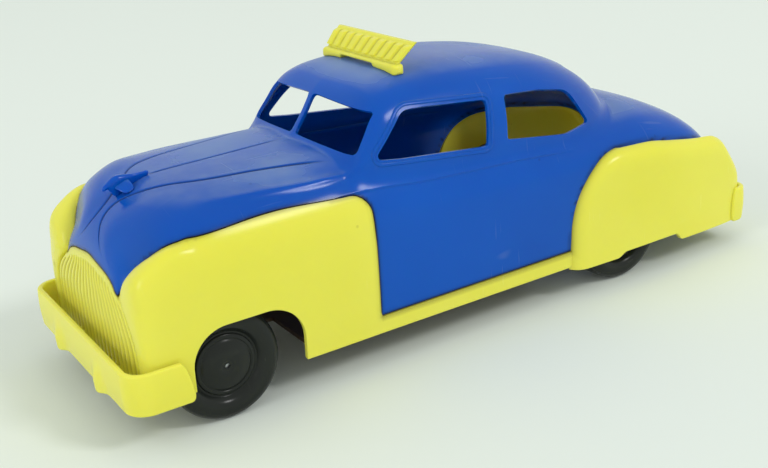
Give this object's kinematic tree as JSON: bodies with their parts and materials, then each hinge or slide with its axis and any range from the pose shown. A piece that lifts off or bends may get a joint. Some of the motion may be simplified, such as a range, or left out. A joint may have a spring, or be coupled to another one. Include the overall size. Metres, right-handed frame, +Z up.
{
  "type": "toy taxi",
  "caption": "Moulded push-along toy taxi sedan with a two-colour body, open windows, roof sign, bumpers and black wheels that roll on steel axles.",
  "frame": {"origin": "on the ground under the middle of the toy's length and width", "axes": "+X towards the front bumper, +Y towards the car's left side, +Z up; the wheels stand on z = 0"},
  "size_m": [0.25, 0.089, 0.0964],
  "materials": {
    "yellow_moulding": "glossy moulded, lightly scuffed",
    "blue_moulding": "glossy moulded, lightly scuffed",
    "pan": "dull dark brown",
    "axle_steel": "bright drawn wire",
    "wheel_black": "satin moulded"
  },
  "bodies": {
    "body": {"lower_body": "yellow_moulding", "roof_sign": "yellow_moulding", "front_bumper": "yellow_moulding", "rear_bumper": "yellow_moulding", "upper_body": "blue_moulding", "hood_ornament": "blue_moulding", "floor_pan": "pan"},
    "front_wheelset": {"front_axle": "axle_steel", "wheel_front_left": "wheel_black", "wheel_front_right": "wheel_black"},
    "rear_wheelset": {"rear_axle": "axle_steel", "wheel_rear_left": "wheel_black", "wheel_rear_right": "wheel_black"}
  },
  "joints": [
    {"name": "front_wheels_roll", "type": "hinge", "parent": "body", "child": "front_wheelset", "pos_m": [0.0926, 0, 0.0175], "axis": [0, 1, 0], "continuous": true},
    {"name": "rear_wheels_roll", "type": "hinge", "parent": "body", "child": "rear_wheelset", "pos_m": [-0.0638, 0, 0.0175], "axis": [0, 1, 0], "continuous": true}
  ]
}
